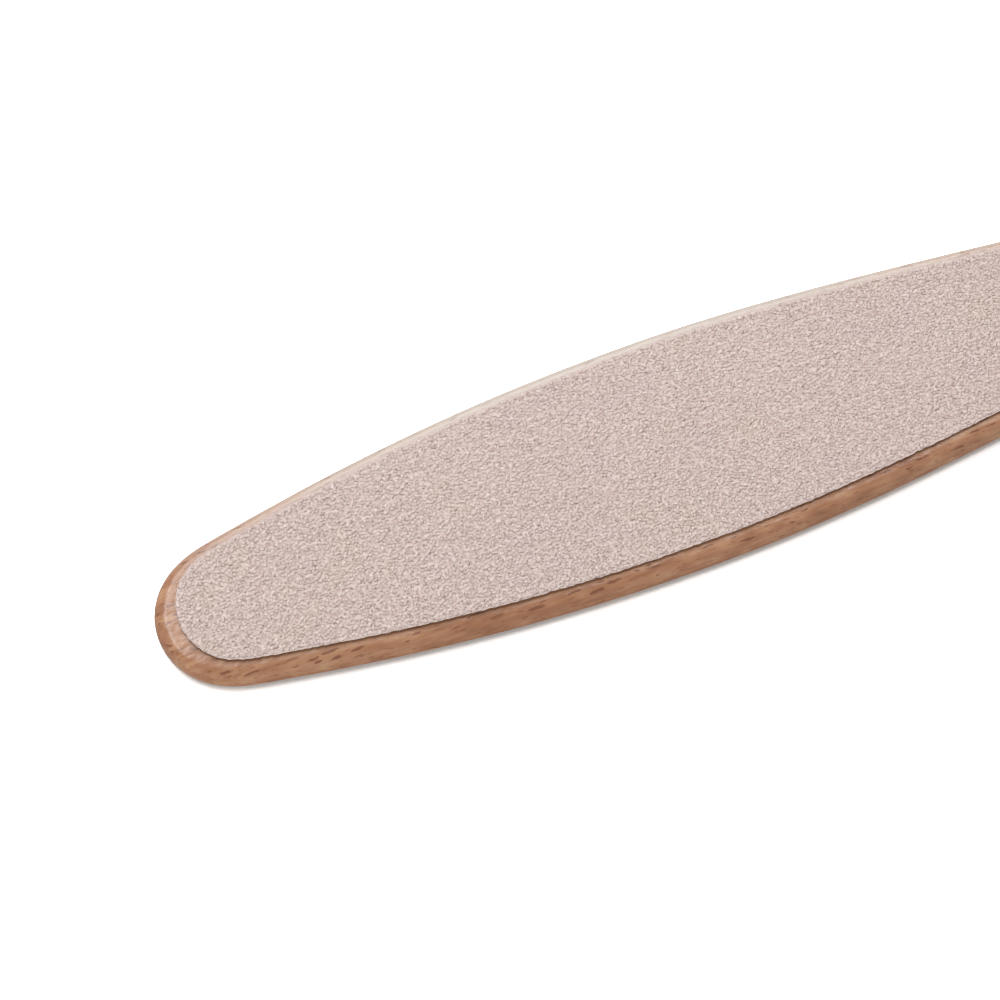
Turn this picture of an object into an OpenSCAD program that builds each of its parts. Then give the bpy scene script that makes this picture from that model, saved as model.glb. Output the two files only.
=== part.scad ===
// Foot file: a flat beech paddle with an abrasive sheet glued on each face.
// The tip of the head points to -X, the handle to +X, and the fine sheet lies on Z = 0.

/* [Body] */
// Length from the tip of the head to the end of the handle
body_l = 270; // [255:1:290]
// Thickness of the wood
body_t = 4.2; // [3.4:0.1:6]
// How far in from the rim the rounded edge begins
edge_round = 2.3; // [1.2:0.1:2.4]
// Height of the flat band left around the middle of the edge
edge_band = 0.6; // [0.2:0.1:1.2]

/* [Head] */
// Width at the widest place
head_w = 45; // [40:0.5:50]
// Distance from the tip to the widest place
head_wide_x = 96; // [88:1:104]
// Distance from the tip to the shoulder, where its curve meets the flank
shoulder_x = 12.25; // [11:0.25:14]
// Width across the shoulder
shoulder_w = 26.9; // [25:0.1:29]
// Angle of the flank at the shoulder, in degrees
shoulder_angle = 12; // [9:0.5:15]

/* [Handle] */
// Distance from the tip to the narrowest place of the neck
neck_x = 200; // [192:1:208]
// Width of the neck
neck_w = 28; // [22:0.5:32]
// Distance from the end of the handle back to its widest place
grip_x = 28; // [20:1:34]
// Width of the handle at its widest place
grip_w = 30.5; // [26:0.5:34]

/* [Sheets] */
// Distance from the tip of the wood to the handle end of both sheets
sheet_l = 186; // [172:1:192]
// Length of the rounded end of the sheets
sheet_nose = 15; // [8:1:22]
// Wood left bare on each side of a sheet that lies in the middle
side_margin = 2.8; // [2.7:0.1:5]
// How far both sheets lie off the middle of the wood, towards +Y
sheet_shift = 0.4; // [0:0.05:0.4]
// Wood left bare in front of the sheets, at the tip
tip_margin = 4.1; // [2.8:0.1:6]
// Thickness of each glue film
glue_t = 0.1; // [0.05:0.01:0.2]

/* [Coarse sheet] */
// Thickness of the backing paper
coarse_paper_t = 0.3; // [0.2:0.01:0.45]
// Thickness of the resin that bonds the grains
coarse_bond_t = 0.08; // [0.04:0.01:0.15]
// Height of the grains above the resin
coarse_grit_t = 0.27; // [0.15:0.01:0.4]

/* [Fine sheet] */
// Thickness of the backing paper
fine_paper_t = 0.25; // [0.15:0.01:0.4]
// Thickness of the resin that bonds the grains
fine_bond_t = 0.05; // [0.03:0.01:0.1]
// Height of the grains above the resin
fine_grit_t = 0.12; // [0.08:0.01:0.2]

/* [Hidden] */

// Steps along each curve of the outline, and up each rounded edge
tip_steps = 16;
flank_steps = 20;
waist_steps = 24;
grip_steps = 10;
end_steps = 14;
nose_steps = 12;
round_steps = 5;

// How far each curve's handles reach, as shares of the stretch that it spans
tip_rise_share = 0.342;
tip_run_share = 0.801;
flank_out_share = 0.353;
flank_in_share = 0.366;
waist_out_share = 0.362;
waist_in_share = 0.2;
grip_share = 0.4;
round_share = 0.5523;

// Heights, from the underside of the fine grains upwards
fine_bond_z = fine_grit_t;
fine_paper_z = fine_bond_z + fine_bond_t;
fine_glue_z = fine_paper_z + fine_paper_t;
body_z = fine_glue_z + glue_t;
coarse_glue_z = body_z + body_t;
coarse_paper_z = coarse_glue_z + glue_t;
coarse_bond_z = coarse_paper_z + coarse_paper_t;
coarse_grit_z = coarse_bond_z + coarse_bond_t;

// Corner points of one side of the outline, from the tip to the end of the handle
tip = [0, 0];
shoulder = [shoulder_x, shoulder_w / 2];
widest = [head_wide_x, head_w / 2];
neck = [neck_x, neck_w / 2];
grip = [body_l - grip_x, grip_w / 2];
end = [body_l, 0];
flank_way = [cos(shoulder_angle), sin(shoulder_angle)];
tip_run = tip_run_share * shoulder_x;
flank_l = head_wide_x - shoulder_x;
waist_l = neck_x - head_wide_x;
grip_l = grip[0] - neck_x;

// Each curve is four control points, and each starts in the direction in which the last one ends.
tip_curve = [tip, tip + [0, tip_rise_share * shoulder[1]], shoulder - tip_run * flank_way, shoulder];
flank_curve = [shoulder, shoulder + flank_out_share * flank_l * flank_way,
    widest - [flank_in_share * flank_l, 0], widest];
waist_curve = [widest, widest + [waist_out_share * waist_l, 0],
    neck - [waist_in_share * waist_l, 0], neck];
grip_curve = [neck, neck + [grip_share * grip_l, 0], grip - [grip_share * grip_l, 0], grip];
end_curve = [grip, grip + [round_share * grip_x, 0], [body_l, round_share * grip[1]], end];

// Point of curve c at share t of its way
function along(c, t) =
    pow(1 - t, 3) * c[0] + 3 * pow(1 - t, 2) * t * c[1] + 3 * (1 - t) * t * t * c[2] + pow(t, 3) * c[3];

// Direction out of the outline there, one unit long
function outward(c, t) =
    let (d = pow(1 - t, 2) * (c[1] - c[0]) + 2 * (1 - t) * t * (c[2] - c[1]) + t * t * (c[3] - c[2]))
    [-d[1], d[0]] / norm(d);

// Places on a curve, each with its outward direction, without the curve's last point
function places(c, steps) = [for (i = [0:steps - 1]) [along(c, i / steps), outward(c, i / steps)]];

// One side of the head and neck, and then the whole side down to the end of the handle
head_side = concat(places(tip_curve, tip_steps), places(flank_curve, flank_steps),
    places(waist_curve, waist_steps));
body_side = concat(head_side, places(grip_curve, grip_steps), places(end_curve, end_steps),
    [[end, [1, 0]]]);

// Closes a side into a ring by adding its mirror image, which leaves out both points on the axis.
function closed(side) =
    concat(side, [for (i = [len(side) - 2:-1:1]) [side[i][0], -side[i][1]]]);

// The body's outline, moved inwards by inset
function body_ring(inset) = closed([for (p = body_side) p[0] - inset * p[1]]);

// Bare margin beside a sheet, which grows from the sides towards the tip
function margin(out) = side_margin + (tip_margin - side_margin) * pow(max(0, -out[0]), 2);

// One side of a sheet: the head's side less the margin, and then the rounded end
sheet_edge = [for (p = head_side) p[0] - margin(p[1]) * p[1]];
nose_x = sheet_l - sheet_nose;
nose_half = lookup(nose_x, sheet_edge);
nose_slope = (lookup(sheet_l, sheet_edge) - nose_half) / sheet_nose;
nose_curve = [[nose_x, nose_half], [nose_x, nose_half] + round_share * sheet_nose * [1, nose_slope],
    [sheet_l, round_share * nose_half], [sheet_l, 0]];
sheet_side = concat([for (p = sheet_edge) if (p[0] < nose_x) p],
    [for (i = [0:nose_steps]) along(nose_curve, i / nose_steps)]);

// How far in, and how high, each ring of the body lies from the underside up
round_h = (body_t - edge_band) / 2;
low_rings = [for (i = [0:round_steps]) let (a = 90 * i / round_steps)
    [edge_round * (1 - sin(a)), round_h * (1 - cos(a))]];
high_rings = [for (i = [round_steps:-1:0]) [low_rings[i][0], body_t - low_rings[i][1]]];
rings = concat(low_rings, high_rings);

// Paddle cut from one board, with its edge rounded all the way round
module wood_body() {
    n = len(body_ring(0));
    points = [for (r = rings) for (p = body_ring(r[0])) [p[0], p[1], body_z + r[1]]];
    walls = [for (k = [0:len(rings) - 2]) for (i = [0:n - 1])
        let (a = k * n + i, b = k * n + (i + 1) % n)
        each [[a, b, b + n], [a, b + n, a + n]]];
    underside = [for (i = [n - 1:-1:0]) i];
    top = [for (i = [0:n - 1]) (len(rings) - 1) * n + i];
    color("peru") centred() polyhedron(points, concat([underside, top], walls), convexity = 4);
}

// The part's origin lies under the middle of its length.
module centred() {
    translate([-body_l / 2, 0, 0]) children();
}

// One layer of a sheet, from height z up
module layer(z, thickness) {
    centred() translate([0, sheet_shift, z]) linear_extrude(thickness) polygon(closed(sheet_side));
}

// Coarse sheet, on top of the wood
module coarse_glue_film() {
    color("khaki") layer(coarse_glue_z, glue_t);
}

module coarse_backing_paper() {
    color("saddlebrown") layer(coarse_paper_z, coarse_paper_t);
}

module coarse_bond_coat() {
    color("rosybrown") layer(coarse_bond_z, coarse_bond_t);
}

module coarse_grit_layer() {
    color([0.8, 0.72, 0.7]) layer(coarse_grit_z, coarse_grit_t);
}

// Fine sheet, under the wood
module fine_glue_film() {
    color("khaki") layer(fine_glue_z, glue_t);
}

module fine_backing_paper() {
    color("saddlebrown") layer(fine_paper_z, fine_paper_t);
}

module fine_bond_coat() {
    color("rosybrown") layer(fine_bond_z, fine_bond_t);
}

module fine_grit_layer() {
    color([0.84, 0.77, 0.74]) layer(0, fine_grit_t);
}

wood_body();
coarse_glue_film();
coarse_backing_paper();
coarse_bond_coat();
coarse_grit_layer();
fine_glue_film();
fine_backing_paper();
fine_bond_coat();
fine_grit_layer();
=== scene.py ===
# Foot file: a beech paddle with a coarse abrasive sheet on top and a finer one underneath.
import math
import bpy
import numpy as np
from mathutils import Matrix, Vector


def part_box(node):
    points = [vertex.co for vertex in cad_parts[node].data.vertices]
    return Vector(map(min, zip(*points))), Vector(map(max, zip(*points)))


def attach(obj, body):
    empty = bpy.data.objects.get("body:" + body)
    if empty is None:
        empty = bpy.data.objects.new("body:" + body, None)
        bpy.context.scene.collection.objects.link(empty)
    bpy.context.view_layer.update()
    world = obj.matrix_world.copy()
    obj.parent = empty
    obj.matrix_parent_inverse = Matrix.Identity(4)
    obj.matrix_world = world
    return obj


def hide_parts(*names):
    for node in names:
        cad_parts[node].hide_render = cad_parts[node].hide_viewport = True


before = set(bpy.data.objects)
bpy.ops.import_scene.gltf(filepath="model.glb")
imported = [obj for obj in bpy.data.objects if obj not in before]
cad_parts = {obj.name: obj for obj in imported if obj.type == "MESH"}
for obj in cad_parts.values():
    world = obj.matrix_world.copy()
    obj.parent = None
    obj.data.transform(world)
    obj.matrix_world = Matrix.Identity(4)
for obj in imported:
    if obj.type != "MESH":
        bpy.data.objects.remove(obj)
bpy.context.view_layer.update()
mm = 0.001
print("frame loaded")

# The camera looks at a point level with the wood's underside, which is given from the tip.
view = {
    "aim": (62.05 * mm, 3.66 * mm),
    "distance": 341.9 * mm,
    "elevation": 60.73,
    "turn": 22.73,
    "lens": 72,
    "sees": (0.01, 20),  # nearest and farthest distance in m
}

woodLow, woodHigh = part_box("wood_body")
aim = Vector((woodLow.x + view["aim"][0], view["aim"][1], woodLow.z))
rise, turn = math.radians(view["elevation"]), math.radians(view["turn"])
back = Vector((-math.sin(turn) * math.cos(rise), -math.cos(turn) * math.cos(rise), math.sin(rise)))
camera = bpy.data.objects.new("camera", bpy.data.cameras.new("camera"))
bpy.context.scene.collection.objects.link(camera)
camera.data.lens = view["lens"]
camera.location = aim + back * view["distance"]
camera.rotation_mode = "QUATERNION"
camera.rotation_quaternion = (-back).to_track_quat("-Z", "Y")
camera.data.clip_start, camera.data.clip_end = view["sees"]
bpy.context.scene.camera = camera
bpy.context.scene.view_settings.view_transform = "Standard"
print("camera set")


# A socket that adds Math nodes when it is used in an expression
class Value:
    def __init__(self, finish, socket):
        self.finish, self.socket = finish, socket

    def math(self, operation, first, second=0.0):
        return self.finish.node("ShaderNodeMath", {"operation": operation}, {0: first, 1: second})

    def __add__(self, other):
        return self.math("ADD", self, other)

    def __radd__(self, other):
        return self.math("ADD", other, self)

    def __sub__(self, other):
        return self.math("SUBTRACT", self, other)

    def __rsub__(self, other):
        return self.math("SUBTRACT", other, self)

    def __mul__(self, other):
        return self.math("MULTIPLY", self, other)

    def __rmul__(self, other):
        return self.math("MULTIPLY", other, self)

    def __abs__(self):
        return self.math("ABSOLUTE", self)


# A material with one Principled shader, and the calls that build what feeds it
class Finish:
    def __init__(self, name, **plain):
        self.material = bpy.data.materials.new(name)
        self.material.use_nodes = True
        self.tree = self.material.node_tree
        self.shader = self.tree.nodes["Principled BSDF"]
        for socket, value in plain.items():
            self.shader.inputs[socket.replace("_", " ")].default_value = value

    def node(self, kind, settings, values, out=0):
        made = self.tree.nodes.new(kind)
        for name, setting in settings.items():
            if name == "stops":
                self.setStops(made.color_ramp.elements, setting)
            else:
                setattr(made, name, setting)
        for name, value in values.items():
            if isinstance(value, Value):
                self.tree.links.new(value.socket, made.inputs[name])
            else:
                made.inputs[name].default_value = value
        return Value(self, made.outputs[out])

    def setStops(self, elements, stops):
        while len(elements) < len(stops):
            elements.new(1.0)
        for element, (place, colour) in zip(elements, stops):
            element.position, element.color = place, colour

    # Object coordinates, counted in steps of the given length in mm along each axis
    def place(self, size):
        spot = self.node("ShaderNodeTexCoord", {}, {}, "Object")
        steps = tuple(1 / (s * mm) for s in size)
        return self.node("ShaderNodeVectorMath", {"operation": "MULTIPLY"}, {0: spot, 1: steps})

    def noise(self, size, detail=2.0, roughness=0.5):
        values = {"Vector": self.place(size), "Scale": 1.0, "Detail": detail, "Roughness": roughness}
        return self.node("ShaderNodeTexNoise", {}, values, "Fac")

    # 1 inside scattered dashes and 0 outside them. Each lies in a cell of the given size in mm, and
    # reaches from its middle over a random length, up to the given share of that size. The last quarter
    # of the share is soft.
    def dashes(self, size, bend, share):
        bendSize, firm = (1.6, 0.8, 0.8), 0.75
        warp = self.node("ShaderNodeTexNoise", {}, {"Vector": self.place(bendSize), "Detail": 2.0,
                                                    "Scale": 1.0}, "Color")
        bent = self.node("ShaderNodeVectorMath", {"operation": "MULTIPLY_ADD"},
                         {0: warp, 1: (bend, bend, bend), 2: self.place(size)})
        middle = self.node("ShaderNodeTexVoronoi", {}, {"Vector": bent, "Scale": 1.0}, "Distance")
        cell = self.node("ShaderNodeTexVoronoi", {}, {"Vector": bent, "Scale": 1.0}, "Color")
        missing = self.node("ShaderNodeSeparateXYZ", {}, {0: cell}, "X") * share
        return 1 - self.step(middle + missing, share * firm, share)

    # 0 below low, 1 above high, smooth between
    def step(self, value, low, high):
        values = {"Value": value, "From Min": low, "From Max": high}
        return self.node("ShaderNodeMapRange", {"interpolation_type": "SMOOTHSTEP"}, values)

    def ramp(self, value, stops):
        return self.node("ShaderNodeValToRGB", {"stops": stops}, {"Fac": value})

    def mix(self, factor, first, second, blend="MIX"):
        values = {0: factor, 6: first, 7: second}
        return self.node("ShaderNodeMix", {"data_type": "RGBA", "blend_type": blend}, values, 2)

    def bump(self, height, distance):
        return self.node("ShaderNodeBump", {}, {"Height": height, "Distance": distance})

    def feed(self, **sockets):
        for name, value in sockets.items():
            self.tree.links.new(value.socket, self.shader.inputs[name.replace("_", " ")])
        return self.material


# A colour as the photograph's numbers give it, made linear for a shader
def paint(red, green, blue):
    shares = [c / 255 for c in (red, green, blue)]
    return (*[s / 12.92 if s <= 0.04045 else ((s + 0.055) / 1.055) ** 2.4 for s in shares], 1.0)


# A corner this near the midline lies on it, two corners this near each other are one, and a corner this
# near the top belongs to it.
near = {"midline": 0.001 * mm, "corner": 0.02 * mm, "top": 0.01 * mm}


# The line midway across an outline, and its side from the tip to the other end, measured from there
def sideOf(corners):
    middle = (corners[:, 1].min() + corners[:, 1].max()) / 2
    side = corners[:, :2] - (0, middle)
    side = side[side[:, 1] > -near["midline"]]
    side = side[np.argsort(side[:, 0])]
    apart = np.linalg.norm(np.diff(side, axis=0), axis=1) > near["corner"]
    return middle, side[np.concatenate([[True], apart])]


def cornersOf(node, low, high):
    corners = np.array([v.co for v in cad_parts[node].data.vertices])
    return corners[(corners[:, 2] >= low) & (corners[:, 2] <= high)]


def topOf(node):
    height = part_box(node)[1].z
    return cornersOf(node, height - near["top"], height)


# A ring through an outline, on smooth curves. It runs clockwise, seen from above.
def ringThrough(corners, count):
    middle, side = sideOf(corners)
    ring = np.vstack([side, (side[1:-1] * (1, -1))[::-1]]) + (0, middle)
    steps = np.linalg.norm(np.roll(ring, -1, 0) - ring, axis=1)
    reach = np.concatenate([[0], np.cumsum(steps)])
    goals = np.arange(count) * reach[-1] / count
    at = np.clip(np.searchsorted(reach, goals, "right") - 1, 0, len(ring) - 1)
    t = ((goals - reach[at]) / steps[at])[:, None]
    before, start, end, after = (ring[(at + k) % len(ring)] for k in (-1, 0, 1, 2))
    return 0.5 * (2 * start + (end - before) * t + (2 * before - 5 * start + 4 * end - after) * t**2
                  + (3 * start - before - 3 * end + after) * t**3)


def outOf(ring):
    way = np.roll(ring, -1, 0) - np.roll(ring, 1, 0)
    way /= np.linalg.norm(way, axis=1)[:, None]
    return np.stack([-way[:, 1], way[:, 0]], 1)


# A random wave round a ring, with a spread of 1 and no waves shorter than length
def waveRound(ring, length, seed):
    rng = np.random.default_rng(seed)
    whole = np.linalg.norm(np.roll(ring, -1, 0) - ring, axis=1).sum()
    share = np.arange(len(ring)) / len(ring)
    count = int(whole / length)
    waves = [rng.normal() * np.sin(math.tau * (k * share + rng.random())) for k in range(1, count + 1)]
    return sum(waves) / math.sqrt(count / 2)


# Joins rings of equal count, lowest first, into a closed solid.
def loft(rings):
    count, last = len(rings[0]), (len(rings) - 1) * len(rings[0])
    faces = [tuple(range(count)), tuple(range(last + count - 1, last - 1, -1))]
    for k in range(len(rings) - 1):
        for i in range(count):
            a, b = k * count + i, k * count + (i + 1) % count
            faces.append((a, a + count, b + count, b))
    return np.vstack(rings), faces


def atHeight(flat, z):
    return np.column_stack([flat, np.full(len(flat), z)])


def addPiece(name, mesh, slot, *nodes):
    piece = bpy.data.objects.new(name, mesh)
    bpy.context.scene.collection.objects.link(piece)
    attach(piece, "root")
    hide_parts(*nodes)


def meshOf(name, points, faces, material):
    mesh = bpy.data.meshes.new(name)
    mesh.from_pydata([tuple(p) for p in points], [], faces)
    mesh.materials.append(material)
    return mesh


# Wood: the paddle, with its edge rounded like the node's but in finer steps. The sizes of its patterns
# are in mm along the board, across it and up.
wood = {
    "around": 1100,
    "upEachEdge": 14,
    "sanding": [(8 * mm, 0.06 * mm), (2 * mm, 0.03 * mm)],  # length and depth of the waves that it leaves
    "seed": 3,
    "board": [(0.36, paint(148, 93, 54)), (0.5, paint(173, 119, 81)), (0.64, paint(195, 147, 109))],
    "patterns": {
        "fibres": {"size": (8, 0.22, 0.22), "detail": 3.0, "roughness": 0.65},
        "streaks": {"size": (14, 0.7, 0.7)},
        "rings": {"size": (60, 1.1, 14), "detail": 3.0},
        "mottle": {"size": (4.5, 1.5, 1.5), "detail": 1.0},
        "cloud": {"size": (26, 12, 8)},
        "uneven": {"size": (1.8, 1.1, 1.1), "detail": 1.0},
    },
    "toneShares": {"fibres": 0.12, "streaks": 0.2, "rings": 0.15, "mottle": 0.38, "cloud": 0.15},
    "reliefShares": {"fibres": 0.25, "uneven": 2.5},
    "relief": 0.03 * mm,
    "endFacing": (0.3, 0.95),  # how far it faces along the board where the end grain begins and is full
    "cutAcross": paint(236, 230, 226),
    "faceFacing": (0.6, 0.9),  # how far it faces up or down where the large flecks begin and are full
    "groupSize": (12, 3, 3),
    "groupEdge": (0.34, 0.46),
    "fleck": {"size": (3.4, 0.7, 0.7), "bend": 0.8, "share": 0.5},
    "fleckColour": paint(118, 62, 22),
    "fleckStrength": 0.85,
    "smallFleck": {"size": (1.7, 0.42, 0.42), "bend": 0.6, "share": 0.42},
    "smallFleckColour": paint(132, 72, 30),
    "smallFleckStrength": 0.5,
    # Painted sheen along the far edge: from here outwards the wood is painted towards a pale grey-beige, in
    # place of the back light's glare on the varnish.
    "sheenFrom": 7,  # mm across from the middle
    "sheenTo": 22,
    "sheenColour": paint(198, 188, 178),
    "sheenShare": 0.85,
    "fleckFadeUnderSheen": 0.7,
    "gloss": 0.7,
    "roughness": 0.15,
    "fibreRoughness": 0.17,
}


def beech():
    f = Finish("beech", Specular_IOR_Level=wood["gloss"])
    patterns = {name: f.noise(**facts) for name, facts in wood["patterns"].items()}
    tone = sum(patterns[name] * share for name, share in wood["toneShares"].items())
    relief = sum(patterns[name] * share for name, share in wood["reliefShares"].items())
    board = f.ramp(tone, wood["board"])
    # Painted sheen: the board is painted paler towards its far edge, in place of the back light's glare on
    # the varnish, and its flecks fade under it.
    across = f.node("ShaderNodeSeparateXYZ", {}, {0: f.place((1, 1, 1))}, "Y")
    paintedSheen = f.step(across, wood["sheenFrom"], wood["sheenTo"])
    base = f.mix(paintedSheen * wood["sheenShare"], board, wood["sheenColour"])
    fleckLeftUnderSheen = 1 - paintedSheen * wood["fleckFadeUnderSheen"]
    normal = f.node("ShaderNodeNewGeometry", {}, {}, "Normal")
    endFacing = f.step(abs(f.node("ShaderNodeSeparateXYZ", {}, {0: normal}, "X")), *wood["endFacing"])
    cutAcross = f.mix(endFacing, base, wood["cutAcross"], "MULTIPLY")
    # The flecks are the ends of the rays: short dashes along the grain, some a little bent. The small
    # ones are all over, and the large ones in groups where the wood looks up or down.
    faceFacing = f.step(abs(f.node("ShaderNodeSeparateXYZ", {}, {0: normal}, "Z")), *wood["faceFacing"])
    grouped = f.step(f.noise(wood["groupSize"]), *wood["groupEdge"]) * faceFacing
    dash = f.dashes(**wood["fleck"]) * grouped
    smallDash = f.dashes(**wood["smallFleck"])
    # Both kinds of fleck fade under the painted sheen towards the far edge.
    small = f.mix(smallDash * fleckLeftUnderSheen * wood["smallFleckStrength"], cutAcross, wood["smallFleckColour"])
    colour = f.mix(dash * fleckLeftUnderSheen * wood["fleckStrength"], small, wood["fleckColour"])
    return f.feed(Base_Color=colour, Normal=f.bump(relief, wood["relief"]),
                  Roughness=wood["roughness"] + patterns["fibres"] * wood["fibreRoughness"])


def woodRings(rim, depth, height):
    out = outOf(rim)
    depths = depth + sum(waveRound(rim, length, wood["seed"]) * high for length, high in wood["sanding"])
    lower = []
    for angle in np.linspace(0, math.pi / 2, wood["upEachEdge"]):
        flat = rim - out * (depths * (1 - math.sin(angle)))[:, None]
        lower.append(atHeight(flat, woodLow.z + height * (1 - math.cos(angle))))
    upper = [ring * (1, 1, -1) + (0, 0, woodLow.z + woodHigh.z) for ring in lower[::-1]]
    return lower + upper


# The node's flat band lies within an eighth of its thickness of the middle.
woodMiddle = (woodLow.z + woodHigh.z) / 2
eighth = (woodHigh.z - woodLow.z) / 8
band = cornersOf("wood_body", woodMiddle - eighth, woodMiddle + eighth)
roundDepth = topOf("wood_body")[:, 0].min() - band[:, 0].min()
roundHeight = band[:, 2].min() - woodLow.z
rim = ringThrough(band, wood["around"])
woodMesh = meshOf("beech_paddle", *loft(woodRings(rim, roundDepth, roundHeight)), beech())
woodMesh.shade_smooth()
addPiece("beech_paddle", woodMesh, "beech", "wood_body")
print("wood made: edge rounded", round(roundDepth / mm, 2), "by", round(roundHeight / mm, 2), "mm")

# Sheets: glue, paper and resin share one outline, whose cut is slightly ragged.
sheets = {
    "around": 1500,
    "raggedDepth": 0.04 * mm,
    "raggedLength": 1.1 * mm,
    "seeds": {"coarse": 30, "fine": 31},
}


def gluedFilm():
    f = Finish("glue", Roughness=0.35)
    flow = f.noise((1.6, 1.6, 0.3), detail=3.0)
    colour = f.mix(flow, paint(124, 98, 72), paint(162, 134, 102))
    return f.feed(Base_Color=colour, Normal=f.bump(flow, 0.05 * mm))


def brownPaper():
    f = Finish("backing_paper", Roughness=0.9)
    fibres = f.noise((0.5, 0.5, 0.1), detail=4.0, roughness=0.7)
    colour = f.mix(f.step(fibres, 0.3, 0.7), paint(70, 50, 38), paint(110, 83, 65))
    return f.feed(Base_Color=colour, Normal=f.bump(fibres, 0.04 * mm))


def curedResin():
    f = Finish("bond_resin", Roughness=0.45, Coat_Weight=0.2)
    flow = f.noise((0.35, 0.35, 0.35), detail=3.0, roughness=0.6)
    colour = f.mix(f.step(flow, 0.3, 0.7), paint(204, 182, 175), paint(226, 205, 198))
    return f.feed(Base_Color=colour, Normal=f.bump(flow, 0.08 * mm))


def addLayer(name, node, slot, material, seed):
    low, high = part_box(node)
    ring = ringThrough(topOf(node), sheets["around"])
    wave = waveRound(ring, sheets["raggedLength"], seed) * sheets["raggedDepth"]
    ring = ring + outOf(ring) * wave[:, None]
    mesh = meshOf(name, *loft([atHeight(ring, low.z), atHeight(ring, high.z)]), material)
    mesh.shade_flat()
    addPiece(name, mesh, slot, node)


layerFinishes = {"glue": gluedFilm(), "paper": brownPaper(), "resin": curedResin()}
for side, seed in sheets["seeds"].items():
    addLayer(side + "_glue", side + "_glue_film", "glue", layerFinishes["glue"], seed)
    addLayer(side + "_paper", side + "_backing_paper", "backing_paper", layerFinishes["paper"], seed)
    addLayer(side + "_resin", side + "_bond_coat", "bond_resin", layerFinishes["resin"], seed)
print("sheets made")

# Grains: irregular crystals scattered over the resin, each about a third sunk in it. The tones go from
# dark to pale, and up is 1 where the grains look up and -1 where they look down.
grits = {
    "coarse": {"pitch": 0.52 * mm, "radius": 0.4 * mm, "corners": (6, 4), "pieces": 4, "seed": 5, "up": 1,
               "tones": (paint(184, 158, 150), paint(223, 200, 192), paint(244, 229, 222))},
    "fine": {"pitch": 0.24 * mm, "radius": 0.14 * mm, "corners": (4, 2), "pieces": 4, "seed": 40, "up": -1,
             "tones": (paint(206, 182, 174), paint(236, 215, 207), paint(249, 236, 230))},
}
grainShape = {
    "smallest": 0.6,
    "largest": 1.3,
    "shake": 0.2,  # how far a corner may be shaken along each axis, as a share of the radius
    "flatness": 0.11,
    "raised": 0.4,  # how far the middle lies out of the resin, as a share of half the height
    "opened": 0.38,  # how far a crystal spreads when it is laid out, as a share of the pitch
    "densest": 5.0e7,  # grains tried on a square metre, before the pitch thins them out
}
grainLook = {
    "lean": 2.5,  # how much of the sheet's normal is added to the crystal's own
    "patch": {"size": (0.65, 0.65, 0.65), "detail": 1.2},  # size in mm
    "patchContrast": 1.9,
    "ownContrast": 0.05,
    "darker": 0.49,
    "tints": [  # colour, size of their places in mm, and where in that pattern they begin and are full
        (paint(250, 244, 255), (15, 9, 9), (0.5, 0.7)),
        (paint(250, 255, 240), (11, 13, 9), (0.52, 0.72)),
    ],
    "tintStrength": 0.25,
    "roughness": 0.45,
    "ownRoughness": 0.3,
}


def mineral(name, up, dark, middle, pale):
    f = Finish(name)
    # Light goes a little way into the grains and softens their shading, so their normals lean to the
    # sheet's own.
    normal = f.node("ShaderNodeNewGeometry", {}, {}, "Normal")
    leaning = f.node("ShaderNodeVectorMath", {"operation": "ADD"},
                     {0: normal, 1: (0, 0, up * grainLook["lean"])})
    softened = f.node("ShaderNodeVectorMath", {"operation": "NORMALIZE"}, {0: leaning})
    # Patches of the sheet share a tone, and each grain differs a little within its patch.
    own = f.node("ShaderNodeAttribute", {"attribute_name": "tone"}, {}, "Fac")
    patch = f.noise(**grainLook["patch"])
    tone = own * grainLook["ownContrast"] + patch * grainLook["patchContrast"] - grainLook["darker"]
    colour = f.ramp(tone, [(0.0, dark), (0.5, middle), (1.0, pale)])
    for tint, size, edge in grainLook["tints"]:
        tinted = f.step(f.noise(size), *edge) * grainLook["tintStrength"]
        colour = f.mix(tinted, colour, tint, "MULTIPLY")
    return f.feed(Base_Color=colour, Normal=softened,
                  Roughness=grainLook["roughness"] + own * grainLook["ownRoughness"])


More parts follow.
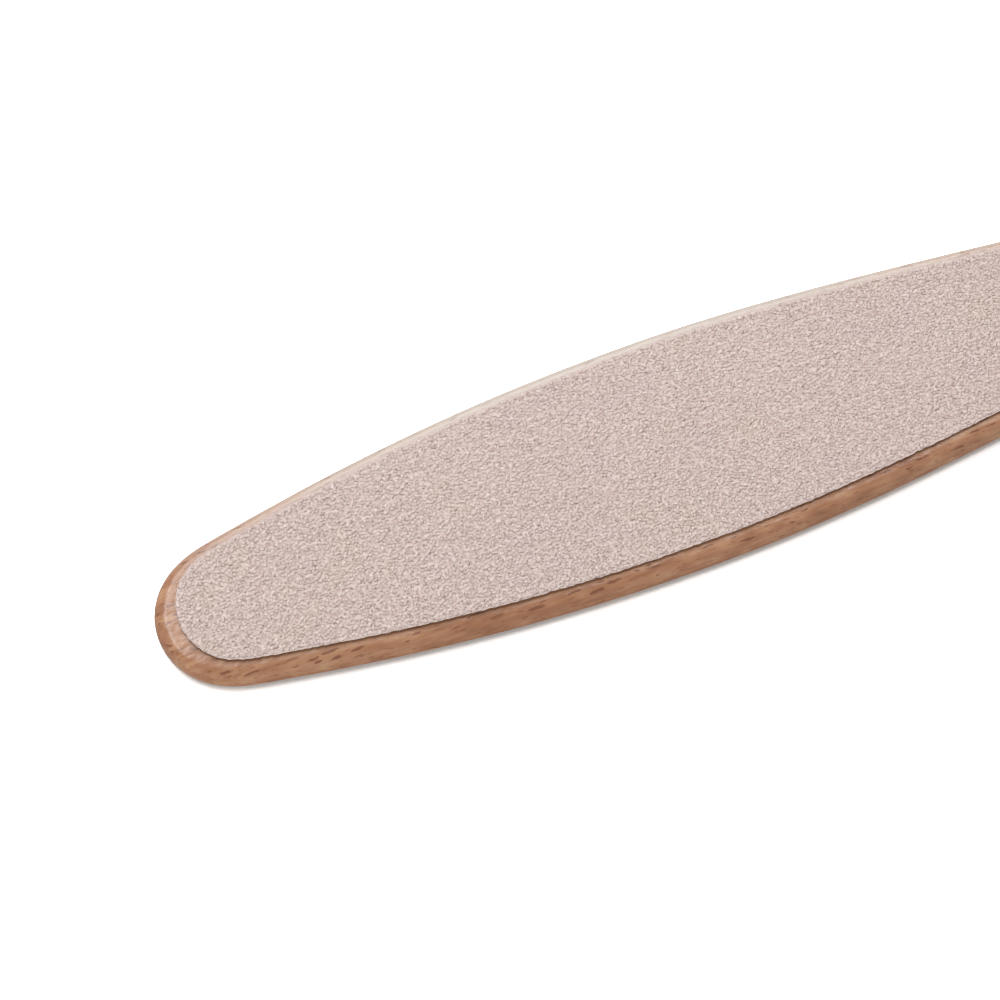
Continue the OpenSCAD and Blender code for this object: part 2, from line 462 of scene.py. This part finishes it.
# Geometry Nodes: points on the base, a crystal on each, its corners shaken, all pressed flat
def grainTree():
    tree = bpy.data.node_groups.new("grains", "GeometryNodeTree")
    tree.interface.new_socket("Geometry", in_out="INPUT", socket_type="NodeSocketGeometry")
    tree.interface.new_socket("Geometry", in_out="OUTPUT", socket_type="NodeSocketGeometry")
    ids = {}
    for name, kind in (("Pitch", "Float"), ("Radius", "Float"), ("Segments", "Int"), ("Rings", "Int"),
                       ("Lift", "Vector"), ("Seed", "Int"), ("Finish", "Material")):
        socket = tree.interface.new_socket(name, in_out="INPUT", socket_type="NodeSocket" + kind)
        ids[name] = socket.identifier
    given = tree.nodes.new("NodeGroupInput").outputs

    def add(kind, settings, values, out=0):
        made = tree.nodes.new(kind)
        for name, setting in settings.items():
            setattr(made, name, setting)
        for name, value in values.items():
            if isinstance(value, bpy.types.NodeSocket):
                tree.links.new(value, made.inputs[name])
            else:
                made.inputs[name].default_value = value
        return made.outputs[out]

    small, large, shake = (grainShape[k] for k in ("smallest", "largest", "shake"))
    vector = {"data_type": "FLOAT_VECTOR"}
    points = add("GeometryNodeDistributePointsOnFaces", {"distribute_method": "POISSON"},
                 {"Mesh": given["Geometry"], "Distance Min": given["Pitch"],
                  "Density Max": grainShape["densest"], "Seed": given["Seed"]})
    crystal = add("GeometryNodeMeshUVSphere", {}, {"Radius": given["Radius"], "Segments": given["Segments"],
                                                   "Rings": given["Rings"]})
    turned = add("FunctionNodeRandomValue", vector, {0: (0, 0, 0), 1: (math.tau,) * 3, "Seed": 1})
    scaled = add("FunctionNodeRandomValue", vector, {0: (small,) * 3, 1: (large,) * 3, "Seed": 2})
    placed = add("GeometryNodeInstanceOnPoints", {},
                 {"Points": points, "Instance": crystal, "Rotation": turned, "Scale": scaled})
    tone = add("FunctionNodeRandomValue", {"data_type": "FLOAT"}, {2: 0.0, 3: 1.0, "Seed": 3}, 1)
    toned = add("GeometryNodeStoreNamedAttribute", {"data_type": "FLOAT", "domain": "INSTANCE"},
                {"Geometry": placed, "Name": "tone", "Value": tone})
    joined = add("GeometryNodeRealizeInstances", {}, {"Geometry": toned})
    anyWay = add("FunctionNodeRandomValue", vector, {0: (-1, -1, -1), 1: (1, 1, 1), "Seed": 4})
    reach = add("ShaderNodeMath", {"operation": "MULTIPLY"}, {0: given["Radius"], 1: shake})
    offset = add("ShaderNodeVectorMath", {"operation": "SCALE"}, {0: anyWay, "Scale": reach})
    shaken = add("GeometryNodeSetPosition", {}, {"Geometry": joined, "Offset": offset})
    pressed = add("GeometryNodeTransform", {}, {"Geometry": shaken, "Translation": given["Lift"],
                                                "Scale": (1, 1, grainShape["flatness"])})
    smooth = add("GeometryNodeSetShadeSmooth", {}, {"Geometry": pressed, "Shade Smooth": True})
    done = add("GeometryNodeSetMaterial", {}, {"Geometry": smooth, "Material": given["Finish"]})
    tree.links.new(done, tree.nodes.new("NodeGroupOutput").inputs[0])
    return tree, ids


# The stretch of a sheet from start to end, as one row of faces at height 0
def stretchOf(name, middle, side, start, end):
    between = side[:, 0][(side[:, 0] > start) & (side[:, 0] < end)]
    xs = np.concatenate([[start], between, [end]])
    half = np.interp(xs, side[:, 0], side[:, 1])
    points = [(x, middle - y, 0) for x, y in zip(xs, half)] + [(x, middle + y, 0) for x, y in zip(xs, half)]
    count = len(xs)
    faces = [(i, i + 1, count + i + 1, count + i) for i in range(count - 1)]
    mesh = bpy.data.meshes.new(name)
    mesh.from_pydata(points, [], faces)
    return mesh


def listOf(things, name, size, kind):
    numbers = np.empty(len(things) * size, kind)
    things.foreach_get(name, numbers)
    return numbers


# Lays the crystals out for a picture of their finish: their upper sides as seen from above, and beside
# them their lower sides. Each one is opened round its own middle and stays clear of its neighbours.
def layOut(mesh, facts):
    each = facts["corners"][0] * (facts["corners"][1] - 1) + 2
    points = listOf(mesh.vertices, "co", 3, float).reshape(-1, each, 3)
    middles = points.mean(1, keepdims=True)
    ways = (points - middles) / (1, 1, grainShape["flatness"])
    ways = (ways / np.linalg.norm(ways, axis=2, keepdims=True)).reshape(-1, 3)
    flats = np.repeat(middles[:, 0, :2], each, axis=0)
    low = flats.min(0) - facts["pitch"]
    width, depth = flats.max(0) + facts["pitch"] - low
    corners = listOf(mesh.loops, "vertex_index", 1, int)
    counts = listOf(mesh.polygons, "loop_total", 1, int)
    faces = np.repeat(np.arange(len(counts)), counts)
    below = np.bincount(faces, ways[corners, 2])[faces] < 0
    tilt = np.arccos(np.clip(ways[corners, 2] * np.where(below, -1, 1), -1, 1)) / (math.pi / 2)
    tiny = 1e-9  # stands in for 0 where a corner lies straight over the middle
    flat = ways[corners, :2] / np.maximum(np.linalg.norm(ways[corners, :2], axis=1), tiny)[:, None]
    spots = flats[corners] - low + flat * (tilt * facts["pitch"] * grainShape["opened"])[:, None]
    spots[:, 1] += depth * below
    layer = mesh.uv_layers.new(name="OFBake")
    layer.data.foreach_set("uv", (spots / max(width, 2 * depth)).ravel())


def addGrains(side, facts):
    node = side + "_grit_layer"
    finish = mineral(side + "_grains", facts["up"], *facts["tones"])
    low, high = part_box(node)
    raised = facts["radius"] * grainShape["flatness"] * grainShape["raised"]
    base = low.z + raised if facts["up"] > 0 else high.z - raised
    ring = ringThrough(topOf(node), sheets["around"])
    inner = ring - outOf(ring) * facts["radius"]
    middle, edge = sideOf(atHeight(inner, high.z))
    ends = np.linspace(edge[:, 0].min(), edge[:, 0].max(), facts["pieces"] + 1)
    for k in range(facts["pieces"]):
        name = f"{side}_grains_{k + 1}"
        stretch = stretchOf(name + "_base", middle, edge, ends[k], ends[k + 1])
        source = bpy.data.objects.new(name + "_base", stretch)
        bpy.context.scene.collection.objects.link(source)
        modifier = source.modifiers.new("grains", "NODES")
        modifier.node_group = grainNodes
        modifier[inputIds["Pitch"]] = facts["pitch"]
        modifier[inputIds["Radius"]] = facts["radius"]
        modifier[inputIds["Segments"]], modifier[inputIds["Rings"]] = facts["corners"]
        modifier[inputIds["Lift"]] = (0, 0, base)
        modifier[inputIds["Seed"]] = facts["seed"] + k
        modifier[inputIds["Finish"]] = finish
        graph = bpy.context.evaluated_depsgraph_get()
        mesh = bpy.data.meshes.new_from_object(source.evaluated_get(graph), depsgraph=graph)
        bpy.data.objects.remove(source)
        mesh.name = name
        layOut(mesh, facts)
        addPiece(name, mesh, side + "_grains", node)
        print(name, "made with", sum(len(p.vertices) - 2 for p in mesh.polygons), "triangles")


grainNodes, inputIds = grainTree()
for side, facts in grits.items():
    addGrains(side, facts)

# Floor: it is paler to the camera, but less so right beside the edge, where a slim shadow stays. It lets
# through what starts hardly higher than the wood's underside, so that light reaches that side, and can't
# be seen from below.
ground = {
    "reach": 1.3,
    "plain": (0.85, 0.85, 0.85, 1),
    "shadow": (0.96, 1.06, 1.08, 1),
    "white": (2.7, 2.95, 3.05, 1),
    "shadowReach": 5 * mm,
    "shadowSamples": 16,
    "openness": (0.40, 0.56),  # how open the floor is where the shadow is full, and where it ends
    "letsThrough": woodLow.z * 1.2,  # the longest way to the floor that passes through it
}


def floorFinish():
    f = Finish("floor")
    plain = f.node("ShaderNodeBsdfDiffuse", {}, {"Color": ground["plain"]})
    clearance = f.node("ShaderNodeAmbientOcclusion", {"samples": ground["shadowSamples"]},
                       {"Distance": ground["shadowReach"]}, "AO")
    tone = f.mix(f.step(clearance, *ground["openness"]), ground["shadow"], ground["white"])
    bright = f.node("ShaderNodeBsdfDiffuse", {}, {"Color": tone})
    byCamera = f.node("ShaderNodeLightPath", {}, {}, "Is Camera Ray")
    seen = f.node("ShaderNodeMixShader", {}, {0: byCamera, 1: plain, 2: bright})
    under = f.node("ShaderNodeNewGeometry", {}, {}, "Backfacing")
    length = f.node("ShaderNodeLightPath", {}, {}, "Ray Length")
    beside = length.math("LESS_THAN", length, ground["letsThrough"])
    clear = under.math("MAXIMUM", under, beside)
    shown = f.node("ShaderNodeMixShader", {},
                   {0: clear, 1: seen, 2: f.node("ShaderNodeBsdfTransparent", {}, {})})
    f.tree.links.new(shown.socket, f.tree.nodes["Material Output"].inputs["Surface"])
    return f.material


reach = ground["reach"]
floorCorners = [(-reach, -reach, 0), (reach, -reach, 0), (reach, reach, 0), (-reach, reach, 0)]
floor = bpy.data.objects.new("floor", meshOf("floor", floorCorners, [(0, 1, 2, 3)], floorFinish()))
bpy.context.scene.collection.objects.link(floor)

# Lights: one high behind on the left, a big panel that stands behind with a low strip under it, a wide,
# dim one in front, and one below the floor for the underside alone, in a pale room that looks white to
# the camera. Each has its place, its width and height, and its power in watts. The varnish mirrors the
# high one at the tip and the big one along the far edge, and none of the others.
room = 0.2
lamps = {
    "high": {"from": (-0.26, 0.49, 0.95), "size": (0.38, 0.22), "power": 1.6, "mirrored": True},
    "rear": {"from": (0.29, 0.88, 0.82), "size": (1.0, 0.85), "power": 10.5, "mirrored": True},
    "low": {"from": (0.26, 1.17, 0.16), "size": (1.3, 0.24), "power": 5.9, "mirrored": False},
    "front": {"from": (-0.82, -0.82, 0.5), "size": (2.4, 0.9), "power": 12.2, "mirrored": False},
    "below": {"from": (0.07, 0.0, -1.0), "size": (0.6, 0.6), "power": 7.4, "mirrored": False},
}
world = bpy.data.worlds.new("room")
world.use_nodes = True
bpy.context.scene.world = world
nodes, links = world.node_tree.nodes, world.node_tree.links
path = nodes.new("ShaderNodeLightPath")
direct = nodes.new("ShaderNodeMath")
direct.operation = "MAXIMUM"
strength = nodes.new("ShaderNodeMapRange")
strength.inputs["To Min"].default_value = room
strength.inputs["To Max"].default_value = 1.0
links.new(path.outputs["Is Camera Ray"], direct.inputs[0])
links.new(path.outputs["Is Glossy Ray"], direct.inputs[1])
links.new(direct.outputs[0], strength.inputs["Value"])
links.new(strength.outputs[0], nodes["Background"].inputs["Strength"])
nodes["Background"].inputs["Color"].default_value = (1, 1, 1, 1)

for name, facts in lamps.items():
    lamp = bpy.data.lights.new(name, "AREA")
    lamp.shape = "RECTANGLE"
    lamp.size, lamp.size_y = facts["size"]
    lamp.energy = facts["power"]
    holder = bpy.data.objects.new(name, lamp)
    holder.visible_camera = False
    holder.visible_glossy = facts["mirrored"]
    bpy.context.scene.collection.objects.link(holder)
    holder.location = aim + Vector(facts["from"])
    holder.rotation_mode = "QUATERNION"
    holder.rotation_quaternion = (-Vector(facts["from"])).to_track_quat("-Z", "Y")
print("stage lit")
